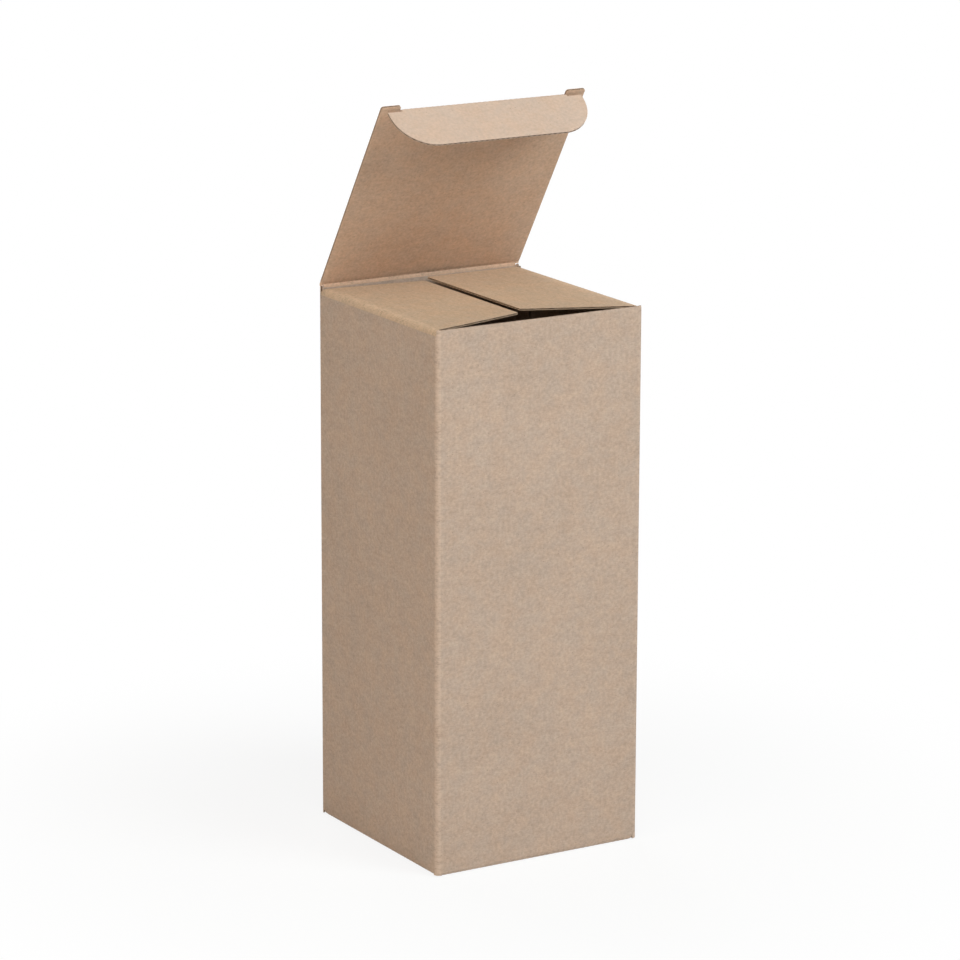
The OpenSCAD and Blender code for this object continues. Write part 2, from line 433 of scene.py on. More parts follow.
def makeFluteTree():
    # Geometry Nodes: a wave across the sheet, given the paper's thickness
    tree = bpy.data.node_groups.new("flutedLayer", "GeometryNodeTree")
    face = tree.interface
    face.new_socket("Geometry", in_out="INPUT", socket_type="NodeSocketGeometry")
    for label in ("Pitch", "Height", "Paper"):
        face.new_socket(label, in_out="INPUT", socket_type="NodeSocketFloat")
    face.new_socket("Material", in_out="INPUT", socket_type="NodeSocketMaterial")
    face.new_socket("Geometry", in_out="OUTPUT", socket_type="NodeSocketGeometry")
    kit = NodeKit(tree)

    def named(label, kind):
        node = kit.add("GeometryNodeInputNamedAttribute", data_type=kind)
        node.inputs["Name"].default_value = label
        return node.outputs["Attribute"]

    def outwards(distance):
        node = kit.add("ShaderNodeVectorMath", operation="SCALE")
        kit.put(node.inputs[0], named("facing", "FLOAT_VECTOR"))
        kit.put(node.inputs["Scale"], distance)
        return node.outputs[0]

    given = kit.add("NodeGroupInput")
    paper = given.outputs["Paper"]
    turns = kit.sums("DIVIDE", named("across", "FLOAT"), given.outputs["Pitch"])
    wave = kit.sums("SINE", kit.sums("MULTIPLY", turns, 2 * math.pi))
    swing = kit.sums("MULTIPLY", kit.sums("MULTIPLY", wave, given.outputs["Height"]), 0.5)
    plumped = kit.sums("MULTIPLY", swing, named("plump", "FLOAT"))
    lowFace = kit.sums("SUBTRACT", plumped, kit.sums("MULTIPLY", paper, 0.5))
    moved = kit.add("GeometryNodeSetPosition")
    kit.fill(moved, Geometry=given.outputs["Geometry"], Offset=outwards(lowFace))
    raised = kit.add("GeometryNodeExtrudeMesh", mode="FACES")
    kit.fill(raised, Mesh=moved.outputs[0], Individual=False, Offset_Scale=1.0, Offset=outwards(paper))
    backs = kit.fill(kit.add("GeometryNodeFlipFaces"), Mesh=moved.outputs[0])
    joined = kit.add("GeometryNodeJoinGeometry")
    for part in (backs, raised):
        kit.put(joined.inputs[0], part.outputs[0])
    welded = kit.fill(kit.add("GeometryNodeMergeByDistance"), Geometry=joined.outputs[0], Distance=1e-6)
    smooth = kit.fill(kit.add("GeometryNodeSetShadeSmooth"), Geometry=welded.outputs[0])
    real = kit.fill(kit.add("GeometryNodeRealizeInstances"), Geometry=smooth.outputs[0])
    painted = kit.fill(
        kit.add("GeometryNodeSetMaterial"), Geometry=real.outputs[0], Material=given.outputs["Material"]
    )
    kit.fill(kit.add("NodeGroupOutput"), Geometry=painted.outputs[0])
    return tree


fluteTree = makeFluteTree()


def growFlutes(base, material):
    # Runs the flute tree on a base surface and keeps the result as a plain mesh
    modifier = base.modifiers.new("flutes", "NODES")
    modifier.node_group = fluteTree
    wanted = {
        "Pitch": boardSpec["flutePitch"],
        "Height": boardSpec["thickness"] - 2 * boardSpec["liner"] - boardSpec["flutePaper"],
        "Paper": boardSpec["flutePaper"],
        "Material": material,
    }
    for item in fluteTree.interface.items_tree:
        if item.in_out == "INPUT" and item.name in wanted:
            modifier[item.identifier] = wanted[item.name]
    bpy.context.view_layer.update()
    depsgraph = bpy.context.evaluated_depsgraph_get()
    mesh = bpy.data.meshes.new_from_object(base.evaluated_get(depsgraph), depsgraph=depsgraph)
    base.modifiers.clear()
    old = base.data
    base.data = mesh
    mesh.name = base.name
    bpy.data.meshes.remove(old)
    mesh.set_sharp_from_angle(angle=math.radians(50))
    print(f"{base.name}: {len(mesh.polygons)} faces")
    return base


# Kraft paper

kraftSpec = {
    "colour": (0.474, 0.348, 0.267),
    "dark": 0.72,  # darkest fibres, as a share of the colour
    "light": 1.24,
    "grain": (
        # share, scale for a millimetre, stretch along and across, detail, roughness, turn, shift
        (0.42, 0.55, 1.0, 1.0, 5, 0.62, 0.0, 0),  # mottle
        (0.26, 1.0, 0.35, 2.6, 3, 0.6, 0.12, 12),  # fibres
        (0.14, 1.0, 0.5, 3.0, 2, 0.6, -0.5, 55),  # fibres that cross them
        (0.18, 0.16, 0.7, 1.3, 4, 0.55, 0.0, 31),  # pulp
    ),
    "grainRange": (0.36, 0.64),
    "cloud": (0.018, 1.0, 1.0, 3, 0.5, 0.0, 77),
    "blotch": 0.07,
    "cloudShare": 0.35,
    "hue": (0.07, 1.0, 1.0, 5, 0.72, 0.0, 140),
    "warmth": 0.024,  # how far patches of the pulp turn warmer or cooler
    "fleckCell": 3.2,  # millimetres between flecks
    "fleckSize": 0.13,  # as a share of that
    "fleckDark": 0.42,
    "fleckPale": 1.35,
    # paler colour along folds: partly wear, partly a painted highlight
    "creaseWearAndPaintedHighlight": 1.25,
    "roughness": (0.92, 0.74),  # from the thinnest to the densest pulp
    "bumpDepth": 0.00006,
}


# The colour factor makes copies of the kraft; on the dust flaps, lid and tuck flap it is painted light
def makeKraft(name, toneAndPaintedLight=(1.0, 1.0, 1.0), contrast=1.0, seed=0.0):
    # Kraft paper on the flat sheet's own map, which is read in millimetres
    material = bpy.data.materials.new(name)
    material.use_nodes = True
    kit = NodeKit(material.node_tree)

    def onSheet(kind, scale, stretchX, stretchY, turn, place, **values):
        mapping = kit.add("ShaderNodeMapping")
        size = (1000 * stretchX, 1000 * stretchY, 1)
        kit.fill(mapping, Vector=sheet, Location=place + (0,), Rotation=(0, 0, turn), Scale=size)
        return kit.fill(kit.add(kind, **values), Vector=mapping.outputs[0], Scale=scale)

    def noise(scale, stretchX, stretchY, detail, rough, turn, shift):
        place = (seed + shift, shift * 1.7)
        node = onSheet("ShaderNodeTexNoise", scale, stretchX, stretchY, turn, place, noise_dimensions="2D")
        return kit.fill(node, Detail=detail, Roughness=rough).outputs["Fac"]

    def shade(factor):
        return tuple(min(1.0, c * t * factor) for c, t in zip(kraftSpec["colour"], toneAndPaintedLight)) + (1,)

    sheet = kit.add("ShaderNodeUVMap", uv_map="sheet").outputs[0]
    grain = 0.0
    for share, *place in kraftSpec["grain"]:
        grain = kit.sums("ADD", grain, kit.sums("MULTIPLY", noise(*place), share))
    darkest = shade(1 - (1 - kraftSpec["dark"]) * contrast)
    lightest = shade(1 + (kraftSpec["light"] - 1) * contrast)
    colour = kit.mixed(kit.ramp(grain, *kraftSpec["grainRange"]), darkest, lightest)
    cloud = kit.ramp(noise(*kraftSpec["cloud"]), 0.3, 0.7)
    patchy = kit.mixed(cloud, shade(1 - kraftSpec["blotch"]), shade(1 + kraftSpec["blotch"]))
    colour = kit.mixed(kraftSpec["cloudShare"], colour, patchy)

    # Recycled pulp: patches turn a little warmer or cooler
    warmth = kraftSpec["warmth"]
    patch = kit.ramp(noise(*kraftSpec["hue"]), *kraftSpec["grainRange"])
    hue = kit.mixed(patch, (1 - warmth, 1.0, 1 + warmth, 1), (1 + warmth, 1.0, 1 - warmth, 1))
    colour = kit.mixed(1.0, colour, hue, "MULTIPLY")

    # Sparse dark specks of bark and a few pale fibres
    cells = onSheet(
        "ShaderNodeTexVoronoi", 1 / kraftSpec["fleckCell"], 1.0, 1.3, 0, (seed * 3 + 5, 9),
        voronoi_dimensions="2D", feature="F1",
    )
    chance = kit.add("ShaderNodeSeparateColor")
    kit.put(chance.inputs[0], cells.outputs["Color"])
    size = kit.sums("MULTIPLY", kit.sums("POWER", chance.outputs[0], 3.0), kraftSpec["fleckSize"])
    speck = kit.ramp(kit.sums("SUBTRACT", size, cells.outputs["Distance"]), 0.0, 0.05)
    for test, limit, strength, factor in (
        ("GREATER_THAN", 0.35, 0.55, kraftSpec["fleckDark"]),
        ("LESS_THAN", 0.12, 0.5, kraftSpec["fleckPale"]),
    ):
        chosen = kit.sums("MULTIPLY", speck, kit.sums(test, chance.outputs[1], limit))
        colour = kit.mixed(kit.sums("MULTIPLY", chosen, strength), colour, shade(factor))

    # Folds are painted paler: partly wear from rubbing, partly a painted highlight along the fold
    crease = kit.add("ShaderNodeAttribute", attribute_type="GEOMETRY", attribute_name="crease").outputs["Fac"]
    rubbedAndPaintedHighlight = kit.sums("MULTIPLY", crease, kit.ramp(grain, 0.40, 0.56), clamp=True)
    colour = kit.mixed(rubbedAndPaintedHighlight, colour, shade(kraftSpec["creaseWearAndPaintedHighlight"]))

    thin, dense = kraftSpec["roughness"]
    rough = kit.add("ShaderNodeMapRange")
    kit.fill(rough, Value=grain, From_Min=0.3, From_Max=0.7, To_Min=thin, To_Max=dense)
    relief = kit.sums("SUBTRACT", grain, kit.sums("MULTIPLY", speck, 0.15))
    bump = kit.fill(kit.add("ShaderNodeBump"), Strength=0.7, Distance=kraftSpec["bumpDepth"], Height=relief)
    surface = kit.add("ShaderNodeBsdfPrincipled")
    kit.fill(
        surface, Base_Color=colour, Specular_IOR_Level=0.28,
        Roughness=rough.outputs[0], Normal=bump.outputs[0],
    )
    kit.put(kit.add("ShaderNodeOutputMaterial").inputs["Surface"], surface.outputs[0])
    return material


kraftOutside = makeKraft("kraftOutside")
# Painted light: the dust flaps are painted brighter and warmer for the light from above, the lid's inner face
# brighter and warmer for light bounced off the flaps, and the tuck flap brighter and cooler for the key light
# on its upward face
kraftFlaps = makeKraft("kraftFlaps", toneAndPaintedLight=(1.16, 1.13, 1.01), seed=20.0)
kraftLid = makeKraft("kraftLid", toneAndPaintedLight=(1.22, 1.11, 1.0), seed=40.0)
kraftTuck = makeKraft("kraftTuck", toneAndPaintedLight=(1.22, 1.23, 1.25), contrast=0.6, seed=90.0)
# The fluted core is painted darker: partly the fluting paper's own tone, partly painted shade inside the
# flutes
kraftCore = makeKraft("kraftCore", toneAndPaintedLight=(0.52, 0.47, 0.42), seed=140.0)
print("kraft materials made")


# Upright walls

def wallGrid(places, heights, topOf, footOf, edge):
    # places run round the plan, heights from 0 to 1 between the foot and the top of each place
    point, out, share, fold = alongPlan(places)
    low, high = footOf(point)[:, None], topOf(point)[:, None]
    level = low + (high - low) * heights
    full = np.repeat(point[:, None, :], len(heights), 1)
    full[..., 2] = level
    normal = np.repeat(out[:, None, :], len(heights), 1)
    full += normal * panelPlay(share[:, None], level)[..., None]
    sheet = np.stack([np.broadcast_to(places[:, None], level.shape), level], -1)
    return makeGrid(full, normal, sheet, fold[:, None] * 0.8, edge)


def planPlaces(start, stop, step):
    # Places along part of the plan, close together on the folds and where the base folds end
    ends = [
        run["start"] + run["length"] / 2 + sign * (cartonSpec["baseHalf"] + extra)
        for run in planRuns if run["kind"] == "flat"
        for sign in (-1, 1)
        for extra in (0.0, cartonSpec["footStep"])
    ]
    glueEnd = backPanel["start"] + sideLine - boardSpec["thickness"] - cartonSpec["glueSideHalf"]
    ends += [glueEnd, glueEnd - cartonSpec["footStep"]]
    runs = [np.array([place for place in ends if start < place < stop])]
    for run in planRuns:
        low, high = max(start, run["start"]), min(stop, run["start"] + run["length"])
        if high - low > 1e-7:
            fine = run["length"] / 9 if run["kind"] == "fold" else step
            runs.append(stretch(low, high, fine))
    return joinPlaces(*runs)


frontStart = foldPlace(frontLeftFold, cartonSpec["foldFront"] - depthLine)
frontStop = foldPlace(frontRightFold, cartonSpec["foldFront"] - depthLine, True)
leftStart = foldPlace(backLeftFold, cartonSpec["foldBack"] - depthLine, True)
leftStop = frontStart
rightStart = frontStop
rightStop = rightPanel["start"] + depthLine + cartonSpec["foldBack"]
glueStart = glueCorner["start"]


def heightShares(low, high, cutLow, cutHigh, step):
    # Heights between low and high, from 0 to 1
    places = edgePlaces(low, high, step, cutLow, cutHigh)
    return (places - low) / (high - low)


def cutDistance(places, start, stop, startCut=True, stopCut=True):
    # How far each place lies from the nearest end that is cut
    far = np.full(len(places), 1.0)
    if startCut:
        far = np.minimum(far, places - start)
    if stopCut:
        far = np.minimum(far, stop - places)
    return far


def buildWalls(mesh, flutes):
    step = 0.005
    foot, top = footLine, cartonSpec["frontTop"]
    lidLine = hingePoint[2] - lidSpec["hingeStrip"]

    def backTop(point):
        # The back panel ends at the lid's crease, and its folds a little higher
        beyond = np.abs(point[:, 0]) - sideLine + cartonSpec["backLead"]
        beyond = np.clip(beyond / cartonSpec["backStep"], 0, 1)
        return lidLine + (cartonSpec["backTop"] - lidLine) * beyond

    def wallFoot(point):
        # The panels turn under at the base, and the folds between them end in raw edges
        along = np.minimum(np.abs(point[:, 0]), np.abs(point[:, 1]))
        gluedCorner = (point[:, 0] > 0) & (point[:, 1] > point[:, 0])
        limit = np.where(gluedCorner, cartonSpec["glueSideHalf"], cartonSpec["baseHalf"])
        beyond = np.clip((along - limit) / cartonSpec["footStep"], 0, 1)
        return foot + (cartonSpec["cornerFoot"] - foot) * beyond

    def level(value):
        return lambda point: np.full(len(point), value)

    parts = [
        # start, stop and top, then whether the top, the start and the stop are cut edges
        (frontStart, frontStop, level(top), True, False, False),
        (leftStart, leftStop, level(topLine), False, False, False),
        (glueStart, leftStart, backTop, False, True, False),
        (rightStart, rightStop, level(topLine), False, False, False),
        (rightStop, planEnd, level(cartonSpec["dustTop"]), True, False, True),
    ]
    for start, stop, topOf, cutHigh, cutStart, cutStop in parts:
        for places, rowStep, core in (
            (planPlaces(start, stop, step), 0.006, False),
            (stretch(start, stop, coreStep), 0.015, True),
        ):
            if not core and cutStop:
                places = joinPlaces(places, edgePlaces(start, stop, step, False, True))
            heights = heightShares(foot, top, False, cutHigh, rowStep)
            rows = foot + heights * (top - foot)
            far = np.minimum(
                cutDistance(rows, foot, top, False, cutHigh),
                cutDistance(places, start, stop, cutStart, cutStop)[:, None],
            )
            layBoard(mesh, flutes, wallGrid(places, heights, topOf, wallFoot, far), places, core)


def buildGlueFlap(mesh, flutes):
    # Inside the right panel, tapered towards its free edge
    root, tip = depthLine, cartonSpec["glueTip"]
    foot, top = cartonSpec["glueFoot"], cartonSpec["glueTop"]
    inner = halfWidth - 1.5 * boardSpec["thickness"]
    for step, rowStep, core in ((0.002, 0.006, False), (coreStep, 0.02, True)):
        places = edgePlaces(tip, root, step, True, False)
        taper = cartonSpec["glueTaper"] * (root - places) / (root - tip)
        low, high = (foot + taper)[:, None], (top - taper)[:, None]
        level = low + (high - low) * heightShares(foot, top, True, True, rowStep)
        across = np.broadcast_to(places[:, None], level.shape)
        point = np.stack([np.full(level.shape, inner), across, level], -1)
        far = cutDistance(places, tip, root, True, False)[:, None]
        far = np.minimum(far, np.minimum(level - low, high - level))
        sheet = np.stack([across + cartonSpec["glueSheet"], level], -1)
        grid = makeGrid(point, np.broadcast_to(acrossX, point.shape), sheet, 0.0, far)
        layBoard(mesh, flutes, grid, places, core)


# Dust flaps, each with its fold out of a side panel

def ridgeDip(places):
    # A fold dips between the flutes that it crosses
    wave = np.sin(2 * math.pi * places / boardSpec["flutePitch"])
    return boardSpec["ridge"] * (0.5 - 0.5 * wave)


def dustLimit(y):
    # How far a dust flap reaches from its fold at each place along the fold
    reach, shoulder = cartonSpec["dustReach"], cartonSpec["shoulder"]
    frontShare = (y + cartonSpec["hookStart"]) / (cartonSpec["hookStart"] - cartonSpec["hookEnd"])
    front = shoulder + np.clip(frontShare, 0, 1) * (reach - shoulder)
    backShare = (cartonSpec["foldBack"] - y) / (cartonSpec["foldBack"] - cartonSpec["backEnd"])
    back = np.clip(backShare, 0, 1) * reach
    return np.maximum(np.minimum(front, back), shoulder * 0.6)


def dustGrid(places, side, lift, bendShare, flapShare, flapBack):
    # places run along the fold, rows along the flutes: first the fold, then the flap to its cut edge
    point, out, _, _ = alongPlan(places)
    outerY = point[:, 1] + out[:, 1] * halfBoard
    limit = dustLimit(outerY)[:, None]
    bendEnd = math.pi / 2 - lift
    angle = np.concatenate([bendShare * bendEnd, np.full(len(flapShare) + len(flapBack), bendEnd)])
    shrink = np.minimum(1, limit / cartonSpec["dustNarrow"])
    inner = np.maximum(limit - flapBack[0] * shrink, 0)
    still = np.zeros((len(places), len(bendShare)))
    way = np.concatenate([still, inner * flapShare, limit - flapBack * shrink], 1)
    outward = side * (np.abs(point[:, 0]) - sideLine)
    x = side * sideLine + outward[:, None] * np.cos(angle) - side * way * math.sin(bendEnd)
    y = np.broadcast_to(point[:, 1][:, None], x.shape)
    z = topLine + foldMiddle * np.sin(angle) + way * math.cos(bendEnd)
    normal = out[:, None, :] * np.cos(angle)[:, None] + upward * np.sin(angle)[:, None]
    normal = normal / np.linalg.norm(normal, axis=-1, keepdims=True)

    # The fold is painted paler, partly wear and partly a painted highlight, and dips between the flutes that
    # it crosses
    turned = np.sin(np.minimum(angle, math.pi / 2))
    pale = np.where(way > 0, np.exp(-way / cartonSpec["dustPale"]), turned**0.6)
    width = np.where(way > 0, np.exp(-((way / cartonSpec["dustRidge"]) ** 2)), turned**2)
    full = np.stack([x, y, z], -1) - normal * (ridgeDip(places)[:, None] * width)[..., None]

    ends = np.minimum(outerY + cartonSpec["foldFront"], cartonSpec["foldBack"] - outerY)
    slope = (cartonSpec["hookStart"] - cartonSpec["hookEnd"]) / cartonSpec["dustReach"]
    steep = np.where(limit >= cartonSpec["dustReach"] - 1e-6, 1.0, slope)
    far = np.where(way > 0.0004, (limit - way) * steep, ends[:, None])
    far = np.clip(far, 0, 1)
    sheet = np.stack([np.broadcast_to(places[:, None], x.shape), topLine + foldMiddle * angle + way], -1)
    return makeGrid(full, normal, sheet, pale * 0.75, far)


def buildDustFlap(mesh, flutes, side, lift):
    start, stop = (leftStart, leftStop) if side < 0 else (rightStart, rightStop)
    back = np.array(cartonSpec["dustRows"])
    places = planPlaces(start, stop, fineStep)
    mesh.addLiners(dustGrid(places, side, lift, np.linspace(0, 1, 10), np.linspace(0, 1, 13)[1:-1], back))
    places = stretch(start, stop, coreStep)
    coreGrid = dustGrid(places, side, lift, np.linspace(0, 1, 5), np.array([0.33, 0.66]), back[[0, 1, 3, 4]])
    flutes.add(coreGrid, places[:, None])


# Creases: a path that turns from one flat direction into another

def creasePath(ways, corner, before, outside, turn, radius):
    # ways run along the sheet, 0 at the corner where the two flat middles would meet
    after = before * math.cos(turn) - outside * math.sin(turn)
    reach = radius * math.tan(turn / 2)
    centre = corner - before * reach - outside * radius
    angle = np.clip((ways + reach) / (2 * reach), 0, 1) * turn
    out = outside * np.cos(angle)[:, None] + before * np.sin(angle)[:, None]
    point = centre + radius * out
    point = point + before * np.minimum(ways + reach, 0)[:, None]
    point = point + after * np.maximum(ways - reach, 0)[:, None]
    return point, out


def creaseGrid(
    places, ways, corner, before, outside, turn, radius, sheetStart, press=0.0, across=acrossX
):
    path, out = creasePath(ways, corner, before, outside, turn, radius)
    normal = np.repeat(out[None, :, :], len(places), 0)
    near = np.exp(-((ways / boardSpec["foldPale"]) ** 2))
    point = path + places[:, None, None] * across
    point = point - normal * (ridgeDip(places)[:, None] * near)[..., None]
    shape = point.shape[:2]
    sheet = np.stack([np.broadcast_to(places[:, None], shape), np.broadcast_to(sheetStart + ways, shape)], -1)
    far = cutDistance(places, places[0], places[-1])[:, None]
    grid = makeGrid(point, normal, sheet, 0.85 * near, far)
    grid["plump"] = grid["plump"] * (1 - press * near)
    return grid


# Flat flaps: the lid, the tuck flap, the base flaps and the pad

def flatGrid(places, ways, start, along, outside, sheetStart, far, across=acrossX):
    # ways hold the distance along the flutes for every place
    point = start + places[:, None, None] * across + ways[..., None] * along
    normal = np.broadcast_to(outside, point.shape)
    sheet = np.stack([np.broadcast_to(places[:, None], ways.shape), sheetStart + ways], -1)
    return makeGrid(point, normal, sheet, 0.0, np.maximum(far, 0))


def rowsToCut(begin, limit, rows, count):
    # Distances from begin to each place's own limit, with extra ones behind the cut edge
    near = np.array(rows)
    body = np.linspace(0, 1, count)[:-1]
    limit = limit[:, None]
    return np.concatenate([begin + (limit - near[0] - begin) * body, limit - near], 1)


def roundEnd(inset, radius, end):
    # Where an outline with a round corner ends, this far into the corner
    inset = np.clip(inset, 0, radius)
    return end - radius + np.sqrt(np.maximum(radius**2 - inset**2, 0))


def cornerTurn(radius, count):
    # Places close together where a round corner turns away
    return radius * (1 - np.cos(np.linspace(0, math.pi / 2, count)))


def buildLid(mesh, flutes):
    first, end = lidSpec["hingeStrip"], lidLength - lidSpec["creaseStrip"]
    tabEnd, radius = lidLength + lidSpec["tabLength"], lidSpec["tabRadius"]
    half, tabInner = lidSpec["halfWidth"], lidSpec["halfWidth"] - lidSpec["tabWidth"]
    for low, high, tab in ((-tabInner, tabInner, False), (-half, -tabInner, True), (tabInner, half, True)):
        for step, rowCount, core in ((0.004, 26, False), (coreStep, 10, True)):
            places = stretch(low, high, step)
            limit = np.full(len(places), end)
            if tab:
                if not core:
                    turn = cornerTurn(radius, 15)
                    places = joinPlaces(edgePlaces(low, high, step), low + turn, high - turn)
                limit = roundEnd(radius - np.minimum(places - low, high - places), radius, tabEnd)
            ways = rowsToCut(first, limit, lidSpec["cutRows"], rowCount)
            far = np.full(ways.shape, 1.0)
            if tab:
                outer, inner = half - np.abs(places)[:, None], np.abs(places)[:, None] - tabInner
                far = np.minimum(limit[:, None] - ways, outer)
                far = np.where(ways > end, np.minimum(far, inner), far)
            grid = flatGrid(places, ways, hingePoint, lidAlong, lidOut, lidSpec["sheetStart"], far)
            layBoard(mesh, flutes, grid, places, core)


def buildTuck(mesh, flutes):
    half, radius, length = tuckSpec["halfWidth"], tuckSpec["cornerRadius"], tuckSpec["length"]
    turned = half - cornerTurn(radius, 25)
    outline = np.concatenate([-turned, turned])
    for low, high, begin in (
        (-tuckRoot, tuckRoot, lidSpec["creaseStrip"]),
        (-half, -tuckRoot, tuckSpec["slitLength"]),
        (tuckRoot, half, tuckSpec["slitLength"]),
    ):
        for step, rowCount, core in ((0.003, 12, False), (coreStep, 5, True)):
            places = stretch(low, high, step)
            if not core:
                places = joinPlaces(places, outline[(outline >= low) & (outline <= high)])
            aside = np.abs(places)[:, None]
            limit = roundEnd(np.abs(places) - (half - radius), radius, length)
            ways = rowsToCut(begin, limit, tuckSpec["cutRows"], rowCount)
            acrossGap, alongGap = aside - (half - radius), ways - (length - radius)
            far = np.where(
                (acrossGap > 0) & (alongGap > 0),
                radius - np.hypot(acrossGap, alongGap),
                np.minimum(half - aside, length - ways),
            )
            if begin == tuckSpec["slitLength"]:
                far = np.minimum(far, ways - begin)
            grid = flatGrid(places, ways, creasePoint, tuckAlong, tuckOut, tuckSpec["sheetStart"], far)
            layBoard(mesh, flutes, grid, places, core)


def finishPiece(piece, body, node):
    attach(piece, body)
    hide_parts(node)


# The carton: walls, glue flap and base

wallMesh, wallFlutes = BoardMesh(), FluteBase()
buildWalls(wallMesh, wallFlutes)
buildGlueFlap(wallMesh, wallFlutes)
walls = wallMesh.makeObject("carton_walls", kraftOutside)
wallCore = wallFlutes.makeObject("carton_walls_flutes", kraftCore)
for piece in (walls, wallCore):
    finishPiece(piece, "carton", "carton_body")

flapFlutes = FluteBase()
for name, side, lift in (
    ("dust_flap_left", -1, cartonSpec["leftLift"]),
    ("dust_flap_right", 1, cartonSpec["rightLift"]),
):
    flapMesh = BoardMesh()
    buildDustFlap(flapMesh, flapFlutes, side, lift)
    finishPiece(flapMesh.makeObject(name, kraftFlaps), "carton", "carton_body")

# The base: four folded flaps, mitred towards each other, under a glued pad


def buildBaseFlap(mesh, flutes, turn, low, high, distance, tongue):
    across = np.array([math.cos(turn), math.sin(turn), 0.0])
    outside = np.array([math.sin(turn), -math.cos(turn), 0.0])
    corner = outside * (distance - halfBoard) + upward * halfBoard
    sheetStart = cartonSpec["baseSheet"] + cartonSpec["baseSheetStep"] * turn
    half, sliver = cartonSpec["tongueHalf"], 0.0001
    for step, flapRows, core in ((fineStep, 9, False), (coreStep, 4, True)):
        places = stretch(low, high, step)
        if tongue:
            places = joinPlaces(places, np.array([-half - sliver, -half, half, half + sliver]))
        fold = creaseGrid(
            places, stretch(-foldMiddle, foldMiddle, 0.0005), corner, -upward, outside,
            math.pi / 2, foldMiddle, sheetStart, across=across,
        )
        mitre = np.minimum(places - low, high - places)
        limit = np.clip(mitre, sliver, cartonSpec["baseReach"])
        if tongue:
            limit = np.where(np.abs(places) <= half + 1e-6, cartonSpec["tongueReach"], limit)
        shares = np.concatenate([np.linspace(0, 0.94, flapRows), [0.98, 1.0]])
        ways = foldMiddle + limit[:, None] * shares
        far = np.minimum(foldMiddle + limit[:, None] - ways, mitre[:, None])
        flap = flatGrid(places, ways, corner, -outside, -upward, sheetStart, far, across)
        for grid in (fold, flap):
            layBoard(mesh, flutes, grid, places, core)


def buildPad(mesh, flutes):
    half = cartonSpec["padHalf"]
    corner = upward * (cartonSpec["padFace"] + halfBoard)
    for step, rowStep, core in ((0.004, 0.004, False), (coreStep, 0.02, True)):
        places = stretch(-half, half, step) if core else edgePlaces(-half, half, step)
        rows = edgePlaces(-half, half, rowStep)
        ways = np.broadcast_to(rows, (len(places), len(rows)))
        far = half - np.maximum(np.abs(ways), np.abs(places)[:, None])
        grid = flatGrid(places, ways, corner, backward, upward, cartonSpec["padSheet"], far)
        layBoard(mesh, flutes, grid, places, core)


baseMesh = BoardMesh()
for count in range(4):
    low = -cartonSpec["glueSideHalf" if count == 2 else "baseHalf"]
    distance = halfWidth if count % 2 else halfDepth
    buildBaseFlap(
        baseMesh, flapFlutes, count * math.pi / 2, low, cartonSpec["baseHalf"], distance, count == 0
    )
buildPad(baseMesh, flapFlutes)
finishPiece(baseMesh.makeObject("base_flaps", kraftOutside), "carton", "carton_body")
finishPiece(flapFlutes.makeObject("flap_flutes", kraftCore), "carton", "carton_body")
print("carton built")

# The lid with its lock tabs

lidMesh, lidFlutes = BoardMesh(), FluteBase()
buildLid(lidMesh, lidFlutes)
finishPiece(lidMesh.makeObject("lid_panel", kraftLid), "lid", "lid")
finishPiece(lidFlutes.makeObject("lid_flutes", kraftCore), "lid", "lid")

# The tuck flap

tuckMesh, tuckFlutes = BoardMesh(), FluteBase()
buildTuck(tuckMesh, tuckFlutes)
finishPiece(tuckMesh.makeObject("tuck_panel", kraftTuck), "tuck", "tuck_flap")
finishPiece(tuckFlutes.makeObject("tuck_flutes", kraftCore), "tuck", "tuck_flap")

# Creased strips that join the lid to the back panel and the tuck flap to the lid, bent to their present
# angles

hingeMesh = BoardMesh()
lidTurn = math.acos(float(np.dot(upward, lidAlong)))
cornerRise = hingePoint[2] - cartonSpec["backTop"] - 0.0001
for low, high, foot in (
    (-sideLine, sideLine, lidSpec["hingeStrip"]),
    (-lidSpec["halfWidth"], -sideLine, cornerRise),
    (sideLine, lidSpec["halfWidth"], cornerRise),
):
    hingeMesh.addSolid(creaseGrid(
        stretch(low, high, fineStep), stretch(-foot, lidSpec["hingeStrip"], creaseRow),
        hingePoint, upward, backward, lidTurn, lidSpec["hingeRadius"], lidSpec["sheetStart"],
        lidSpec["hingePress"],
    ))
lidCrease = hingeMesh.makeObject("lid_crease", kraftLid)
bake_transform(lidCrease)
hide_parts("lid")

turnMesh = BoardMesh()
turnMesh.addSolid(creaseGrid(
    edgePlaces(-tuckRoot, tuckRoot, fineStep),
    stretch(-lidSpec["creaseStrip"], lidSpec["creaseStrip"], creaseRow),
    creasePoint, lidAlong, lidOut, tuckFold, lidSpec["creaseRadius"], tuckSpec["sheetStart"],
    lidSpec["creasePress"],
))
tuckCrease = turnMesh.makeObject("tuck_crease", kraftTuck)
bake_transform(tuckCrease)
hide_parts("tuck_flap")
print("lid, tuck flap and creases built")

# Camera at the photograph's viewing angle

cameraSpec = {
    "azimuth": math.radians(-31.064),
    "elevation": math.radians(14.213),
    "roll": math.radians(0.192),
    "distance": 2.426975,
    "target": Vector((0.000781, 0.0, 0.201307)),
    "focalPixels": 4380.92,
    "picturePixels": 960,  # width of the picture that the focal length is given for
    "sensor": 36,  # millimetres
}


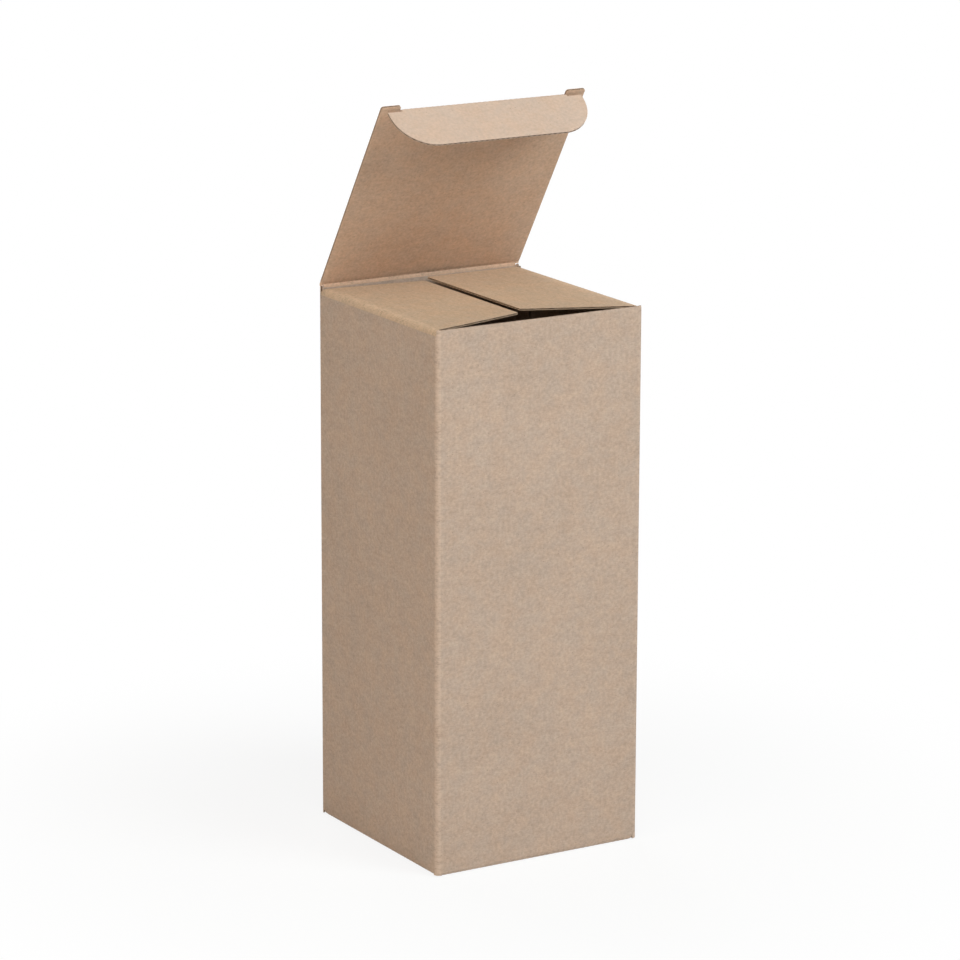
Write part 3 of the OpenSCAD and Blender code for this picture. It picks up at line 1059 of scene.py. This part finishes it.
def makeCamera(spec):
    azimuth, elevation = spec["azimuth"], spec["elevation"]
    back = Vector((
        math.sin(azimuth) * math.cos(elevation),
        -math.cos(azimuth) * math.cos(elevation),
        math.sin(elevation),
    ))
    right = (-back).cross(Vector((0, 0, 1))).normalized()
    rise = right.cross(-back)
    turn = spec["roll"]
    xAxis = right * math.cos(turn) + rise * math.sin(turn)
    yAxis = -right * math.sin(turn) + rise * math.cos(turn)
    camera = bpy.data.objects.new("camera", bpy.data.cameras.new("camera"))
    camera.matrix_world = Matrix.Translation(spec["target"] + back * spec["distance"]) @ Matrix((
        (xAxis.x, yAxis.x, back.x),
        (xAxis.y, yAxis.y, back.y),
        (xAxis.z, yAxis.z, back.z),
    )).to_4x4()
    camera.data.sensor_width = spec["sensor"]
    camera.data.lens = spec["focalPixels"] * spec["sensor"] / spec["picturePixels"]
    camera.data.clip_start = 0.05
    camera.data.clip_end = 50
    bpy.context.scene.collection.objects.link(camera)
    bpy.context.scene.camera = camera


makeCamera(cameraSpec)

# Floor, surroundings and lamps

studioSpec = {
    "floorSize": 6.0,
    "floorColour": 0.86,
    "floorGlow": 0.86,  # share of plain white that the camera sees in the floor near the carton
    "glowStart": 0.12,  # distances from the carton over which the floor turns plain white
    "glowEnd": 0.38,
    "ambient": (0.045, 0.045, 0.045),
    "lampAim": Vector((0, 0, 0.17)),
}

lampSpec = [
    # name, place, size, power, colour
    ("key", (0.9, -1.5, 1.5), 1.1, 29.0, (0.88, 0.97, 1.0)),
    ("left", (-1.6, -0.5, 0.9), 1.2, 11.4, (1.0, 0.89, 0.72)),
    ("leftFront", (-1.3, -1.5, 1.3), 1.0, 10.5, (0.77, 0.88, 1.0)),
    ("top", (0.0, -1.0, 1.8), 1.1, 9.0, (1.0, 0.93, 0.80)),
    ("back", (0.2, 1.7, 1.3), 1.2, 12.0, (1.0, 0.98, 0.95)),
]


def seenDirectly(kit):
    # 1 for what the camera, a mirror or glass shows, 0 for light that falls on the carton
    path = kit.add("ShaderNodeLightPath")
    value = path.outputs["Is Camera Ray"]
    for label in ("Is Glossy Ray", "Is Transmission Ray"):
        value = kit.sums("MAXIMUM", value, path.outputs[label])
    return value


def blendInto(kit, share, first, second, resultKind):
    # The first surface, and the second one by its share
    blend = kit.add("ShaderNodeMixShader")
    for socket, value in zip(blend.inputs, (share, first.outputs[0], second.outputs[0])):
        kit.put(socket, value)
    kit.put(kit.add(resultKind).inputs["Surface"], blend.outputs[0])


def makeFloor(spec):
    half = spec["floorSize"] / 2
    mesh = bpy.data.meshes.new("floor")
    corners = [(-half, -half, 0), (half, -half, 0), (half, half, 0), (-half, half, 0)]
    mesh.from_pydata(corners, [], [(0, 1, 2, 3)])
    floor = bpy.data.objects.new("floor", mesh)
    bpy.context.scene.collection.objects.link(floor)
    material = bpy.data.materials.new("paleFloor")
    material.use_nodes = True
    kit = NodeKit(material.node_tree)
    distance = kit.add("ShaderNodeVectorMath", operation="LENGTH")
    kit.put(distance.inputs[0], kit.add("ShaderNodeTexCoord").outputs["Object"])
    fade = kit.add("ShaderNodeMapRange", interpolation_type="SMOOTHSTEP")
    kit.fill(
        fade, Value=distance.outputs["Value"],
        From_Min=spec["glowStart"], From_Max=spec["glowEnd"], To_Min=spec["floorGlow"],
    )
    share = kit.sums("MULTIPLY", fade.outputs[0], seenDirectly(kit))
    matt = kit.fill(kit.add("ShaderNodeBsdfDiffuse"), Color=(spec["floorColour"],) * 3 + (1,))
    glow = kit.fill(kit.add("ShaderNodeEmission"), Strength=1.0)
    blendInto(kit, share, matt, glow, "ShaderNodeOutputMaterial")
    mesh.materials.append(material)


def makeWorld(spec):
    world = bpy.data.worlds.new("studio")
    bpy.context.scene.world = world
    world.use_nodes = True
    kit = NodeKit(world.node_tree)
    light = kit.fill(kit.add("ShaderNodeBackground"), Color=spec["ambient"] + (1,))
    white = kit.fill(kit.add("ShaderNodeBackground"), Color=(1, 1, 1, 1))
    blendInto(kit, seenDirectly(kit), light, white, "ShaderNodeOutputWorld")


def makeLamps(lamps, aim):
    for name, place, size, power, colour in lamps:
        data = bpy.data.lights.new(name, "AREA")
        data.shape = "DISK"
        data.size = size
        data.energy = power
        data.color = colour
        lamp = bpy.data.objects.new(name, data)
        lamp.location = place
        lamp.rotation_euler = (aim - Vector(place)).to_track_quat("-Z", "Y").to_euler()
        bpy.context.scene.collection.objects.link(lamp)


makeFloor(studioSpec)
makeWorld(studioSpec)
makeLamps(lampSpec, studioSpec["lampAim"])
bpy.context.scene.view_settings.view_transform = "Standard"
print("camera, floor and lamps set")
